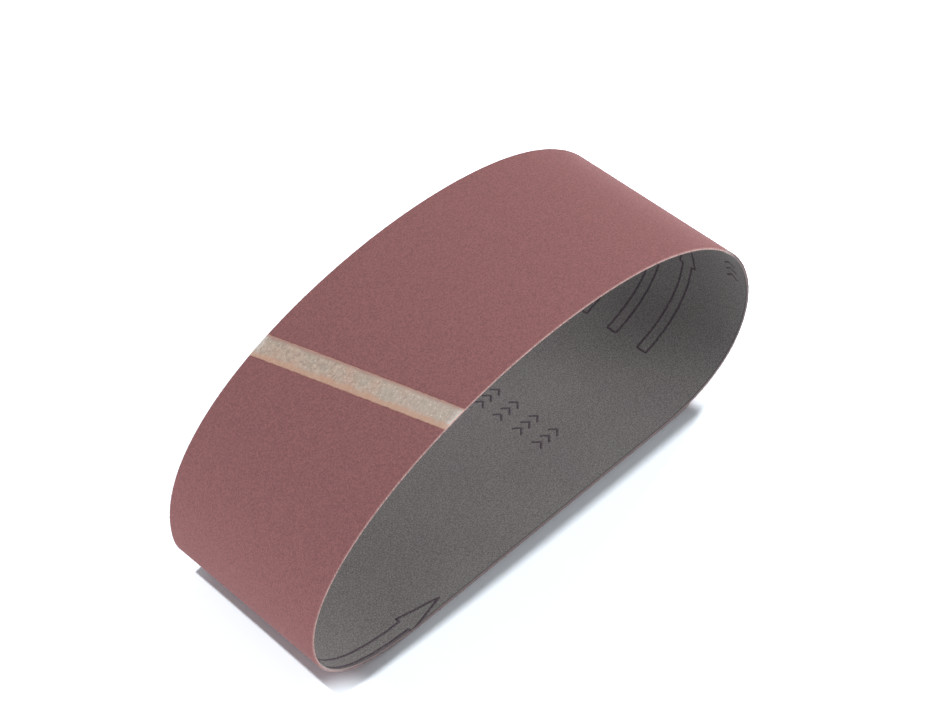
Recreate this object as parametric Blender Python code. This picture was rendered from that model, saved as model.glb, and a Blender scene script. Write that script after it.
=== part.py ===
"""Sanding belt: a strip of abrasive cloth joined into a loop by a slanting splice.

The belt lies as it does when it is put down on a bench: its own stiffness holds
the loop open, and it rests on a flat stretch along the bottom.  X runs along the
loop, Y across the belt's width and Z up.  The origin is on the bench, under the
middle of the loop.

Everything is drawn on the flat strip first, in three measures: the run along the
strip, the distance across it and the height above the middle of its thickness.
The strip is then wrapped round the loop.
"""
import math

import bmesh
import bpy
import numpy as np
from mathutils import Vector

# The strip of abrasive cloth, in metres
BELT_WIDTH = 0.075
BELT_LENGTH = 0.533
BELT_THICKNESS = 0.0012

# The loop that the strip stands in, measured to the middle of its thickness
CROWN_HEIGHT = 0.101
CROWN_AHEAD = 0.0106          # from the middle of the loop to the crown, along +X
REAR_NOSE_HEIGHT = 0.0331     # the nose is the end of the loop, where the strip is upright
FRONT_NOSE_HEIGHT = 0.0365
REAR_HEEL_RUN = 0.0477        # from the nose back to the start of the flat stretch
FRONT_HEEL_RUN = 0.0475

# How far each bend reaches before it turns: the handle's share of the bend
REAR_RISE_FULLNESS = (0.58, 0.497)      # from the rear nose up to the crown
FRONT_FALL_FULLNESS = (0.793, 0.353)    # from the crown down to the front nose
FRONT_HEEL_FULLNESS = (0.301, 0.904)    # from the front nose round to the flat stretch
REAR_HEEL_FULLNESS = (0.807, 0.475)     # from the flat stretch round to the rear nose

# The loop is a little twisted: along its far edge, at +Y, the rear end is bent lower down.
# The edges are equally long, so the far edge's front heel has a longer, slacker run.
FAR_REAR_NOSE_BEHIND = 0.0008           # how far it stands out past the near edge's nose
FAR_REAR_NOSE_HEIGHT = 0.0265
FAR_REAR_HEEL_RUN = 0.0465
FAR_REAR_RISE_FULLNESS = (0.7, 0.413)
FAR_REAR_HEEL_FULLNESS = (0.903, 0.497)

# The splice: a tape glued in a channel, ground in the grit side, over the butted ends
SEAM_BEFORE_CROWN = 0.064     # along the strip, at the middle of its width
SEAM_ANGLE = math.radians(15.4)
SEAM_GAP = 0.0003             # between the two ends of the strip
TAPE_WIDTH = 0.0086
TAPE_THICKNESS = 0.00025
GLUE_LINE = 0.00025           # under the tape
TAPE_SIDE_GAP = 0.0003        # between the tape's edge and the channel's wall

# Facets
FACET_RUN = 0.0021            # longest step along the strip
CURVE_SAMPLES = 400           # points on each bend, for measuring along it


def bend(start, start_pull, end_pull, end):
    """Return closely spaced points on a cubic curve with two handles, and its directions."""
    t = np.linspace(0.0, 1.0, CURVE_SAMPLES)[:, None]
    start, start_pull, end_pull, end = (np.array(p) for p in (start, start_pull, end_pull, end))
    points = ((1 - t) ** 3 * start + 3 * (1 - t) ** 2 * t * start_pull
              + 3 * (1 - t) * t ** 2 * end_pull + t ** 3 * end)
    slopes = ((1 - t) ** 2 * (start_pull - start) + 2 * (1 - t) * t * (end_pull - start_pull)
              + t ** 2 * (end - end_pull))
    return points, slopes / np.linalg.norm(slopes, axis=1)[:, None]


NEAR_REAR_END = (REAR_NOSE_HEIGHT, REAR_HEEL_RUN, REAR_RISE_FULLNESS, REAR_HEEL_FULLNESS)
FAR_REAR_END = (FAR_REAR_NOSE_HEIGHT, FAR_REAR_HEEL_RUN, FAR_REAR_RISE_FULLNESS,
                FAR_REAR_HEEL_FULLNESS)


def loop_stretches(rear_end, rear_reach, front_reach, front_heel_run):
    """Return one edge's five stretches in (x, z), starting at the rear nose.

    The reaches are from the middle of the loop to its two noses.
    """
    nose_height, heel_run, rise_fullness, heel_fullness = rear_end
    floor = BELT_THICKNESS / 2
    rear_nose = (-rear_reach, nose_height)
    crown = (CROWN_AHEAD, CROWN_HEIGHT)
    front_nose = (front_reach, FRONT_NOSE_HEIGHT)
    front_flat = (front_reach - front_heel_run, floor)
    rear_flat = (-rear_reach + heel_run, floor)

    def upright_pull(nose, end, share):
        return (nose[0], nose[1] + share * (end[1] - nose[1]))

    def level_pull(flat, end, share):
        return (flat[0] + share * (end[0] - flat[0]), flat[1])

    return [
        bend(rear_nose, upright_pull(rear_nose, crown, rise_fullness[0]),
             level_pull(crown, rear_nose, rise_fullness[1]), crown),
        bend(crown, level_pull(crown, front_nose, FRONT_FALL_FULLNESS[0]),
             upright_pull(front_nose, crown, FRONT_FALL_FULLNESS[1]), front_nose),
        bend(front_nose, upright_pull(front_nose, front_flat, FRONT_HEEL_FULLNESS[0]),
             level_pull(front_flat, front_nose, FRONT_HEEL_FULLNESS[1]), front_flat),
        bend(front_flat, level_pull(front_flat, rear_flat, 1 / 3),
             level_pull(rear_flat, front_flat, 1 / 3), rear_flat),
        bend(rear_flat, level_pull(rear_flat, rear_nose, heel_fullness[0]),
             upright_pull(rear_nose, rear_flat, heel_fullness[1]), rear_nose),
    ]


def distances(points):
    """Return the distance along a row of points, from 0 at the first one."""
    steps = np.linalg.norm(np.diff(points, axis=0), axis=1)
    return np.concatenate([[0.0], np.cumsum(steps)])


def fitted(stretches_at, too_short, too_long):
    """Find the size at which an edge's stretches take up exactly the length of the strip.

    It lies between a size that makes the edge too short and one that makes it too long.
    """
    for _ in range(60):
        middle = (too_short + too_long) / 2
        length = sum(distances(points)[-1] for points, _ in stretches_at(middle))
        if length < BELT_LENGTH:
            too_short = middle
        else:
            too_long = middle
    return middle


def joined(stretches):
    """Join an edge's stretches; return its runs, places, directions and the stretches' starts."""
    runs, places, directions, starts = [], [], [], []
    run_so_far = 0.0
    for points, slopes in stretches:
        starts.append(run_so_far)
        along = distances(points)
        runs.append(run_so_far + along[:-1])
        places.append(points[:-1])
        directions.append(slopes[:-1])
        run_so_far += along[-1]
    return np.concatenate(runs), np.concatenate(places), np.concatenate(directions), starts


def near_edge(half_span):
    return loop_stretches(NEAR_REAR_END, half_span, half_span, FRONT_HEEL_RUN)


def far_edge(front_heel_run):
    return loop_stretches(FAR_REAR_END, HALF_SPAN + FAR_REAR_NOSE_BEHIND, HALF_SPAN,
                          front_heel_run)


HALF_SPAN = fitted(near_edge, max((REAR_HEEL_RUN + FRONT_HEEL_RUN) / 2, abs(CROWN_AHEAD)),
                   BELT_LENGTH / 2)
NEAR_EDGE = joined(near_edge(HALF_SPAN))
FAR_EDGE = joined(far_edge(fitted(far_edge, HALF_SPAN, 0.0)))
CROWN_RUN = NEAR_EDGE[3][1]
FAR_LEAD = FAR_EDGE[3][1] - CROWN_RUN     # the two edges are level with each other at the crown
SEAM_RUN = CROWN_RUN - SEAM_BEFORE_CROWN


def facet_lines():
    """Return the runs at which a line crosses the strip, with one where each stretch starts."""
    lines = []
    starts = [*NEAR_EDGE[3], BELT_LENGTH]
    for start, end in zip(starts[:-1], starts[1:]):
        count = math.ceil((end - start) / FACET_RUN)
        lines.extend(start + (end - start) * np.arange(count) / count)
    return np.array(lines)


STATION_RUNS = facet_lines()


def stations(edge, lead):
    """Return an edge's places and outward directions at the lines across the strip."""
    runs, places, directions, _ = edge
    at = STATION_RUNS + lead
    x, z, ahead_x, ahead_z = (np.interp(at, runs, values, period=BELT_LENGTH)
                              for values in (*places.T, *directions.T))
    return np.column_stack([x, z, -ahead_z, ahead_x])


STATIONS = (stations(NEAR_EDGE, 0.0), stations(FAR_EDGE, FAR_LEAD))


def wrapped(run, across, height):
    """Return where a point of the flat strip lies on the loop."""
    near, far = (np.array([np.interp(run, STATION_RUNS, values, period=BELT_LENGTH)
                           for values in edge.T]) for edge in STATIONS)
    share = across / BELT_WIDTH + 0.5
    x, z, out_x, out_z = near + share * (far - near)
    return Vector((x + height * out_x, across, z + height * out_z))


def slanted_run(point):
    """Return the run at the middle of the width on the seam's slant through a flat point."""
    return point.x + point.y * math.tan(SEAM_ANGLE)


def cut_on_slant(strip, run, cleared=0):
    """Cut a flat strip along the seam's slant; clear the part before (-1) or after (1) it."""
    outward = Vector((math.cos(SEAM_ANGLE), math.sin(SEAM_ANGLE), 0.0))
    bmesh.ops.bisect_plane(strip, geom=strip.verts[:] + strip.edges[:] + strip.faces[:],
                           plane_co=(run, 0.0, 0.0), plane_no=outward, dist=1e-7,
                           clear_outer=cleared > 0, clear_inner=cleared < 0)


def flat_strip(start, end, bottom):
    """Lay a stretch of the strip flat, with a line across it at each of the loop's stations.

    start and end are the runs of its slanted ends at the middle of the width.
    """
    half_width = BELT_WIDTH / 2
    slant_reach = half_width * math.tan(SEAM_ANGLE)
    low, high = start - slant_reach - FACET_RUN, end + slant_reach + FACET_RUN
    laps = range(math.floor(low / BELT_LENGTH), math.floor(high / BELT_LENGTH) + 1)
    lines = np.concatenate([STATION_RUNS + lap * BELT_LENGTH for lap in laps])
    lines = [low, *lines[(lines > low) & (lines < high)], high]

    strip = bmesh.new()
    near = [strip.verts.new((run, -half_width, bottom)) for run in lines]
    far = [strip.verts.new((run, half_width, bottom)) for run in lines]
    for i in range(len(lines) - 1):
        strip.faces.new((near[i], near[i + 1], far[i + 1], far[i]))
    cut_on_slant(strip, start, cleared=-1)
    cut_on_slant(strip, end, cleared=1)
    return strip


def raise_faces(strip, faces, height):
    """Raise faces of the strip to a height, with walls round them, and return them."""
    edges = list(dict.fromkeys(edge for face in faces for edge in face.edges))
    raised = bmesh.ops.extrude_face_region(strip, geom=faces + edges)["geom"]
    for item in raised:
        if isinstance(item, bmesh.types.BMVert):
            item.co.z = height
    return [item for item in raised if isinstance(item, bmesh.types.BMFace)]


def wrapped_object(name, strip):
    """Wrap a solid strip round the loop and make it an object."""
    for vert in strip.verts:
        vert.co = wrapped(*vert.co)
    bmesh.ops.recalc_face_normals(strip, faces=strip.faces[:])
    mesh = bpy.data.meshes.new(name)
    strip.to_mesh(mesh)
    strip.free()
    mesh.shade_smooth()
    mesh.set_sharp_from_angle(angle=math.radians(30))
    made = bpy.data.objects.new(name, mesh)
    bpy.context.scene.collection.objects.link(made)
    return made


def add_material(target, name, colour, roughness):
    """Give an object a plain material; colour is linear red, green and blue."""
    material = bpy.data.materials.new(name)
    material.use_nodes = True
    shader = material.node_tree.nodes["Principled BSDF"]
    shader.inputs["Base Color"].default_value = (*colour, 1.0)
    shader.inputs["Roughness"].default_value = roughness
    shader.inputs["Metallic"].default_value = 0.0
    target.data.materials.append(material)


def make_belt():
    """The cloth strip, once round the loop, with a channel for the tape across its ends."""
    strip = flat_strip(SEAM_RUN + SEAM_GAP / 2, SEAM_RUN + BELT_LENGTH - SEAM_GAP / 2,
                       -BELT_THICKNESS / 2)
    half_channel = (TAPE_WIDTH / 2 + TAPE_SIDE_GAP) / math.cos(SEAM_ANGLE)
    first_wall = SEAM_RUN + half_channel
    last_wall = SEAM_RUN + BELT_LENGTH - half_channel
    cut_on_slant(strip, first_wall)
    cut_on_slant(strip, last_wall)
    ground = raise_faces(strip, strip.faces[:], BELT_THICKNESS / 2 - TAPE_THICKNESS - GLUE_LINE)
    grit = [face for face in ground
            if first_wall < slanted_run(face.calc_center_median()) < last_wall]
    raise_faces(strip, grit, BELT_THICKNESS / 2)
    belt = wrapped_object("abrasive_belt", strip)
    add_material(belt, "aluminium oxide cloth", (0.31, 0.135, 0.13), 0.9)


def make_tape():
    """The splice tape, cut off flush with both edges of the belt and level with its grit."""
    half_tape = TAPE_WIDTH / 2 / math.cos(SEAM_ANGLE)
    strip = flat_strip(SEAM_RUN - half_tape, SEAM_RUN + half_tape,
                       BELT_THICKNESS / 2 - TAPE_THICKNESS)
    raise_faces(strip, strip.faces[:], BELT_THICKNESS / 2)
    tape = wrapped_object("splice_tape", strip)
    add_material(tape, "splice tape", (0.48, 0.38, 0.34), 0.7)


for old in list(bpy.data.objects):
    bpy.data.objects.remove(old, do_unlink=True)
make_belt()
make_tape()
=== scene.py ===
# A sanding belt that lies as an open loop on a pale studio floor.
import math

import bmesh
import bpy
from mathutils import Matrix, Vector


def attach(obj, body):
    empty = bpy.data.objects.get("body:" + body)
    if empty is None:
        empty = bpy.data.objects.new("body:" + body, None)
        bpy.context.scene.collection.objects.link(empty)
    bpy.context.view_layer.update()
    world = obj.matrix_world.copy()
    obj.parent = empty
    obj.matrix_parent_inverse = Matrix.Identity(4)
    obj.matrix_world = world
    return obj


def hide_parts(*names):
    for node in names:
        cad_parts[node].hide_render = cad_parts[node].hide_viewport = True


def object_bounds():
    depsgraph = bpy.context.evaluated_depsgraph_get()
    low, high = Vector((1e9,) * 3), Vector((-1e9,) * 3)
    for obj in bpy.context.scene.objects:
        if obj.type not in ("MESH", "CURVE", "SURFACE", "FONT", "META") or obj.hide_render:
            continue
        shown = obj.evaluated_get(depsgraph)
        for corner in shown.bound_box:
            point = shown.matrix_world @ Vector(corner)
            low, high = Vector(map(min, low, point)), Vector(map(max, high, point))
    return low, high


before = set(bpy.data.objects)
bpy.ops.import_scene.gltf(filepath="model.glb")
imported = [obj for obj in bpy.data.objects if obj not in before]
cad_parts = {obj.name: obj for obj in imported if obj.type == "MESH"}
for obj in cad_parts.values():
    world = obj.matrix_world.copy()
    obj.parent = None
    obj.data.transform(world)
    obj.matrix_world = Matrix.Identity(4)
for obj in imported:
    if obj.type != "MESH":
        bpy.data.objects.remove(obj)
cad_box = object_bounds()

# The loop that the belt stands in.  One strip is joined end to end, and its own springiness
# holds it open: it rests on a flat stretch, turns up through a tight bend at each end and
# arches over to a crown, with a slight twist that bends its two edges unlike each other.
MM = 0.001
BELT_WIDTH = 75 * MM
BELT_THICKNESS = 1.2 * MM
LOOP_LENGTH = 533 * MM
CROWN_PLACE = (10.6 * MM, 101 * MM)
FRONT_NOSE_HEIGHT = 36.5 * MM
HALF_SPAN = cad_box[1].x - BELT_THICKNESS / 2
# How far a bend is drawn out towards its corner: a rise at the nose and at the crown, and a
# heel at the flat stretch and at the nose
FRONT_RISE = (0.353, 0.793)
FRONT_HEEL = (0.904, 0.301)
STRAIGHT = 1 / 3               # the same share, where the strip lies straight
# Of each edge: the runs of the front and rear heels, the rear nose's reach and height, and how
# far the rear rise and the rear heel are drawn out.  The far edge is bent lower down at the rear
# and slacker at the front.
EDGES = {
    "near": (47.5 * MM, 47.7 * MM, HALF_SPAN, 33.1 * MM, (0.58, 0.497), (0.807, 0.475)),
    "far": (76.04 * MM, 46.5 * MM, HALF_SPAN + 0.8 * MM, 26.5 * MM, (0.7, 0.413), (0.903, 0.497)),
}
LOOP_POINTS = 200              # on each bend


def add_edge_line(curve, front_run, rear_run, rear_reach, rear_height, rear_rise, rear_heel):
    """Add the line in the middle of the belt's thickness along one edge, from the crown on."""
    rear_nose = (-rear_reach, rear_height)
    front_nose = (HALF_SPAN, FRONT_NOSE_HEIGHT)
    rear_flat = (rear_run - rear_reach, BELT_THICKNESS / 2)
    front_flat = (HALF_SPAN - front_run, BELT_THICKNESS / 2)

    def upright(place, end, share):
        return place[0], place[1] + share * (end[1] - place[1])

    def level(place, end, share):
        return place[0] + share * (end[0] - place[0]), place[1]

    turns = [
        (level(CROWN_PLACE, rear_nose, rear_rise[1]), CROWN_PLACE,
         level(CROWN_PLACE, front_nose, FRONT_RISE[1])),
        (upright(front_nose, CROWN_PLACE, FRONT_RISE[0]), front_nose,
         upright(front_nose, front_flat, FRONT_HEEL[1])),
        (level(front_flat, front_nose, FRONT_HEEL[0]), front_flat,
         level(front_flat, rear_flat, STRAIGHT)),
        (level(rear_flat, front_flat, STRAIGHT), rear_flat,
         level(rear_flat, rear_nose, rear_heel[0])),
        (upright(rear_nose, rear_flat, rear_heel[1]), rear_nose,
         upright(rear_nose, CROWN_PLACE, rear_rise[0])),
    ]
    spline = curve.splines.new("BEZIER")
    spline.bezier_points.add(len(turns) - 1)
    spline.resolution_u = LOOP_POINTS
    spline.use_cyclic_u = True
    for point, (before, place, after) in zip(spline.bezier_points, turns):
        point.handle_left_type = point.handle_right_type = "FREE"
        point.co = (place[0], 0, place[1])
        point.handle_left = (before[0], 0, before[1])
        point.handle_right = (after[0], 0, after[1])


def add_node(tree, kind, inputs=None, **settings):
    """Add a node with its settings and links.

    inputs maps a socket, by its name or its number among those in use, to a value, to a node
    or to one output of a node; a list links several.
    """
    node = tree.nodes.new(kind)
    for name, value in settings.items():
        setattr(node, name, value)
    for key, value in (inputs or {}).items():
        usable = [socket for socket in node.inputs if socket.enabled]
        target = usable[key] if isinstance(key, int) else next(s for s in usable if s.name == key)
        for source in value if isinstance(value, list) else [value]:
            if isinstance(source, bpy.types.Node):
                source = next(socket for socket in source.outputs if socket.enabled)
            if isinstance(source, bpy.types.NodeSocket):
                tree.links.new(source, target)
            else:
                target.default_value = source
    return node


def new_tree(name, first="Loop", **sizes):
    """Start a geometry tree with the inputs of each kind named; return it and its inputs."""
    tree = bpy.data.node_groups.new(name, "GeometryNodeTree")
    tree.interface.new_socket(first, in_out="INPUT", socket_type="NodeSocketGeometry")
    for kind, names in sizes.items():
        for size in names:
            tree.interface.new_socket(size, in_out="INPUT", socket_type="NodeSocket" + kind)
    tree.interface.new_socket("Mesh", in_out="OUTPUT", socket_type="NodeSocketGeometry")
    return tree, tree.nodes.new("NodeGroupInput").outputs


def wrapping_tree():
    """Wrap what is drawn on the flat strip round the loop, and keep its flat place.

    Every piece is drawn flat first: X is the run from the crown, Y the place across the belt
    and Z the height from the middle of its thickness.
    """
    tree, given = new_tree("wrapped_round_loop", first="Mesh", Geometry=["Loop"])
    flat = add_node(tree, "GeometryNodeInputPosition")
    kept = add_node(tree, "GeometryNodeStoreNamedAttribute",
                    {"Geometry": given["Mesh"], "Name": "flat_place", "Value": flat},
                    data_type="FLOAT_VECTOR", domain="POINT")
    parts = add_node(tree, "ShaderNodeSeparateXYZ", {0: flat}).outputs
    share = add_node(tree, "ShaderNodeMath", {0: parts["X"], 1: LOOP_LENGTH}, operation="DIVIDE")
    share = add_node(tree, "ShaderNodeMath", {0: share, 1: 1.0, 2: 0.0}, operation="WRAP")
    edges = [add_node(tree, "GeometryNodeSampleCurve",
                      {"Curves": given["Loop"], "Factor": share, "Curve Index": index},
                      mode="FACTOR", use_all_curves=False).outputs for index in range(len(EDGES))]
    over = add_node(tree, "ShaderNodeMath", {0: parts["Y"], 1: 1 / BELT_WIDTH, 2: 0.5},
                    operation="MULTIPLY_ADD")
    place, ahead = (add_node(tree, "ShaderNodeMix",
                             {"Factor": over, "A": edges[0][what], "B": edges[1][what]},
                             data_type="VECTOR", clamp_factor=False).outputs[1]
                    for what in ("Position", "Tangent"))
    ahead = add_node(tree, "ShaderNodeSeparateXYZ", {0: ahead}).outputs
    back_ahead = add_node(tree, "ShaderNodeMath", {0: ahead["Z"], 1: -1.0}, operation="MULTIPLY")
    outward = add_node(tree, "ShaderNodeCombineXYZ", {"X": back_ahead, "Z": ahead["X"]})
    raised = add_node(tree, "ShaderNodeVectorMath", {"Vector": outward, "Scale": parts["Z"]},
                      operation="SCALE")
    across = add_node(tree, "ShaderNodeCombineXYZ", {"Y": parts["Y"]})
    aside = add_node(tree, "ShaderNodeVectorMath", {0: raised, 1: across}, operation="ADD")
    place = add_node(tree, "ShaderNodeVectorMath", {0: place, 1: aside}, operation="ADD")
    moved = add_node(tree, "GeometryNodeSetPosition", {"Geometry": kept, "Position": place})
    add_node(tree, "NodeGroupOutput", {"Mesh": moved})
    return tree


def made_on_loop(name, tree, sizes):
    """Run a tree on the loop with its sizes set, and keep what it makes as a plain mesh."""
    maker = bpy.data.objects.new(name + "_maker", LOOP)
    bpy.context.scene.collection.objects.link(maker)
    modifier = maker.modifiers.new("made", "NODES")
    modifier.node_group = tree
    for socket in tree.interface.items_tree:
        if socket.in_out == "INPUT" and socket.name in sizes:
            modifier[socket.identifier] = sizes[socket.name]
    depsgraph = bpy.context.evaluated_depsgraph_get()
    mesh = bpy.data.meshes.new_from_object(maker.evaluated_get(depsgraph), depsgraph=depsgraph)
    bpy.data.objects.remove(maker)
    if mesh.materials[0] is None:
        mesh.materials.pop(index=0)
    piece = bpy.data.objects.new(name, mesh)
    bpy.context.scene.collection.objects.link(piece)
    return piece


LOOP = bpy.data.curves.new("belt_loop", "CURVE")
LOOP.dimensions = "3D"
for edge in EDGES.values():
    add_edge_line(LOOP, *edge)
WRAPPING = wrapping_tree()

# The strip itself: heavy cotton drill with a grey size pressed into it, which is the side that
# the rollers touch.  It is slit to width from a wide roll, so its long edges show raw cotton.
# Its two ends are cut on a slant and butted on the rear rise, a little before the crown.
CLOTH_THICKNESS = 0.7 * MM
THREAD_SPACING = 0.5 * MM      # real drill of this weight has about 20 threads to the centimetre
SEAM_SLANT = math.radians(15.4)
SEAM_RUN = -64 * MM
SEAM_GAP = 0.12 * MM
CUT_FADE = 0.6 * MM            # how far in from a cut its unevenness has died away


def halfway(tree, low, high):
    """Add what gives the value halfway between two."""
    both = add_node(tree, "ShaderNodeMath", {0: low, 1: high}, operation="ADD")
    return add_node(tree, "ShaderNodeMath", {0: both, 1: 0.5}, operation="MULTIPLY")


def set_back(tree, slant, across):
    """Add what gives how far a slanted cut is set back at a place across the belt."""
    slope = add_node(tree, "ShaderNodeMath", {0: slant}, operation="TANGENT")
    return add_node(tree, "ShaderNodeMath", {0: across, 1: slope}, operation="MULTIPLY")


def layer_tree():
    """A layer of the belt: a slab with slanted ends, with its corners and surface worn."""
    tree, given = new_tree(
        "belt_layer",
        Float=["Start", "End", "Bottom", "Top", "Width", "Slant", "Step Along", "Step Across",
               "Corner", "Ragged Ends", "Ragged Edges", "Relief", "Seed"],
        Material=["Outer Face", "Inner Face", "Edges"])
    length = add_node(tree, "ShaderNodeMath", {0: given["End"], 1: given["Start"]},
                      operation="SUBTRACT")
    height = add_node(tree, "ShaderNodeMath", {0: given["Top"], 1: given["Bottom"]},
                      operation="SUBTRACT")
    size = add_node(tree, "ShaderNodeCombineXYZ", {"X": length, "Y": given["Width"], "Z": height})
    counts = []
    for whole, step in ((length, given["Step Along"]), (given["Width"], given["Step Across"])):
        steps = add_node(tree, "ShaderNodeMath", {0: whole, 1: step}, operation="DIVIDE")
        counts.append(add_node(tree, "ShaderNodeMath", {0: steps, 1: 2.0}, operation="ADD"))
    slab = add_node(tree, "GeometryNodeMeshCube",
                    {"Size": size, "Vertices X": counts[0], "Vertices Y": counts[1],
                     "Vertices Z": 4}).outputs["Mesh"]
    facing = add_node(tree, "ShaderNodeSeparateXYZ",
                      {0: add_node(tree, "GeometryNodeInputNormal")}).outputs["Z"]
    slab = add_node(tree, "GeometryNodeStoreNamedAttribute",
                    {"Geometry": slab, "Name": "facing", "Value": facing},
                    data_type="FLOAT", domain="FACE")

    # The corners of the cut are drawn in, by the fourth power of the height from the middle
    place = add_node(tree, "GeometryNodeInputPosition")
    parts = add_node(tree, "ShaderNodeSeparateXYZ", {0: place}).outputs
    half_height = add_node(tree, "ShaderNodeMath", {0: height, 1: 0.5}, operation="MULTIPLY")
    level = add_node(tree, "ShaderNodeMath", {0: parts["Z"], 1: half_height}, operation="DIVIDE")
    from_level = add_node(tree, "ShaderNodeMath", {0: level}, operation="ABSOLUTE")
    fourth = add_node(tree, "ShaderNodeMath", {0: from_level, 1: 4.0}, operation="POWER")
    drawn_in = add_node(tree, "ShaderNodeMath", {0: fourth, 1: given["Corner"]},
                        operation="MULTIPLY")

    # The cuts are ragged, fully on an end or an edge and less and less from there inwards
    shifts = []
    for part, whole, ragged in (("X", length, given["Ragged Ends"]),
                                ("Y", given["Width"], given["Ragged Edges"])):
        distance = add_node(tree, "ShaderNodeMath", {0: parts[part]}, operation="ABSOLUTE")
        half = add_node(tree, "ShaderNodeMath", {0: whole, 1: 0.5}, operation="MULTIPLY")
        inside = add_node(tree, "ShaderNodeMath", {0: half, 1: distance}, operation="SUBTRACT")
        near = add_node(tree, "ShaderNodeMapRange",
                        {"Value": inside, "From Min": 0.0, "From Max": CUT_FADE,
                         "To Min": 1.0, "To Max": 0.0})
        side = add_node(tree, "ShaderNodeMath", {0: parts[part]}, operation="SIGN")
        own = add_node(tree, "ShaderNodeMath", {0: side, 1: given["Seed"]}, operation="ADD")
        noise = add_node(tree, "ShaderNodeTexNoise",
                         {"Vector": place, "W": own, "Scale": 450.0, "Detail": 3.0,
                          "Roughness": 0.6}, noise_dimensions="4D")
        centred = add_node(tree, "ShaderNodeMath", {0: noise, 1: -0.5}, operation="ADD")
        uneven = add_node(tree, "ShaderNodeMath", {0: centred, 1: ragged}, operation="MULTIPLY")
        inward = add_node(tree, "ShaderNodeMath", {0: uneven, 1: drawn_in}, operation="SUBTRACT")
        eased = add_node(tree, "ShaderNodeMath", {0: inward, 1: near}, operation="MULTIPLY")
        shifts.append(add_node(tree, "ShaderNodeMath", {0: eased, 1: side}, operation="MULTIPLY"))

    # The face that looks out of the loop is a little uneven
    lumps = add_node(tree, "ShaderNodeTexNoise",
                     {"Vector": place, "W": given["Seed"], "Scale": 700.0, "Detail": 2.0},
                     noise_dimensions="4D")
    centred = add_node(tree, "ShaderNodeMath", {0: lumps, 1: -0.6}, operation="ADD")
    lump = add_node(tree, "ShaderNodeMath", {0: centred, 1: given["Relief"]},
                    operation="MULTIPLY")
    on_top = add_node(tree, "ShaderNodeMath", {0: level, 1: 0.9}, operation="GREATER_THAN")
    raised = add_node(tree, "ShaderNodeMath", {0: lump, 1: on_top}, operation="MULTIPLY")

    # Place the slab on the strip: slant its ends, and carry it to its run and height
    middle = halfway(tree, given["Start"], given["End"])
    slant = set_back(tree, given["Slant"], parts["Y"])
    along = add_node(tree, "ShaderNodeMath", {0: middle, 1: slant}, operation="SUBTRACT")
    along = add_node(tree, "ShaderNodeMath", {0: along, 1: shifts[0]}, operation="ADD")
    lift = halfway(tree, given["Bottom"], given["Top"])
    upward = add_node(tree, "ShaderNodeMath", {0: lift, 1: raised}, operation="ADD")
    offset = add_node(tree, "ShaderNodeCombineXYZ", {"X": along, "Y": shifts[1], "Z": upward})
    placed = add_node(tree, "GeometryNodeSetPosition", {"Geometry": slab, "Offset": offset})
    wrapped = add_node(tree, "GeometryNodeGroup", {"Mesh": placed, "Loop": given["Loop"]},
                       node_tree=WRAPPING)

    facing = add_node(tree, "GeometryNodeInputNamedAttribute", {"Name": "facing"},
                      data_type="FLOAT")
    out = add_node(tree, "ShaderNodeMath", {0: facing, 1: 0.5}, operation="GREATER_THAN")
    inner = add_node(tree, "ShaderNodeMath", {0: facing, 1: -0.5}, operation="LESS_THAN")
    made = add_node(tree, "GeometryNodeRealizeInstances", {0: wrapped})
    for faces, finish in ((True, "Edges"), (out, "Outer Face"), (inner, "Inner Face")):
        made = add_node(tree, "GeometryNodeSetMaterial",
                        {"Geometry": made, "Selection": faces, "Material": given[finish]})
    add_node(tree, "NodeGroupOutput", {"Mesh": made})
    return tree


def blending_tree():
    """Blend one colour into a second as a value runs from one level to another."""
    tree = bpy.data.node_groups.new("blended_over_a_range", "ShaderNodeTree")
    for name, kind in (("Value", "Float"), ("From", "Float"), ("To", "Float"), ("Amount", "Float"),
                       ("First", "Color"), ("Second", "Color")):
        tree.interface.new_socket(name, in_out="INPUT", socket_type="NodeSocket" + kind)
    tree.interface.new_socket("Color", in_out="OUTPUT", socket_type="NodeSocketColor")
    given = add_node(tree, "NodeGroupInput").outputs
    share = add_node(tree, "ShaderNodeMapRange",
                     {"Value": given["Value"], "From Min": given["From"], "From Max": given["To"]},
                     interpolation_type="SMOOTHSTEP")
    share = add_node(tree, "ShaderNodeMath", {0: share, 1: given["Amount"]}, operation="MULTIPLY")
    blend = add_node(tree, "ShaderNodeMix",
                     {"Factor": share, "A": given["First"], "B": given["Second"]},
                     data_type="RGBA")
    add_node(tree, "NodeGroupOutput", {"Color": blend.outputs[2]})
    return tree


def grey_and_shade_tree():
    """How greyed and shaded a cut edge is: full painted shade where the belt lies on the bench and
    round its front bend, only greyer where that starts and ends.
    """
    tree = bpy.data.node_groups.new("greyed_and_shaded_by_run", "ShaderNodeTree")
    tree.interface.new_socket("Run", in_out="INPUT", socket_type="NodeSocketFloat")
    tree.interface.new_socket("Share", in_out="OUTPUT", socket_type="NodeSocketFloat")
    given = add_node(tree, "NodeGroupInput").outputs
    starts, ends = (add_node(tree, "ShaderNodeMapRange",
                             {"Value": given["Run"], "From Min": untouched, "From Max": greyed_and_shaded})
                    for untouched, greyed_and_shaded in ((84 * MM, 98 * MM), (378 * MM, 345 * MM)))
    share = add_node(tree, "ShaderNodeMath", {0: starts, 1: ends}, operation="MULTIPLY")
    add_node(tree, "NodeGroupOutput", {"Share": share})
    return tree


def linear(hex_colour):
    """An sRGB hex colour as linear red, green, blue and alpha."""
    shares = [int(hex_colour[i:i + 2], 16) / 255 for i in (1, 3, 5)]
    return (*[s / 12.92 if s <= 0.04045 else ((s + 0.055) / 1.055) ** 2.4 for s in shares], 1.0)


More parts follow.
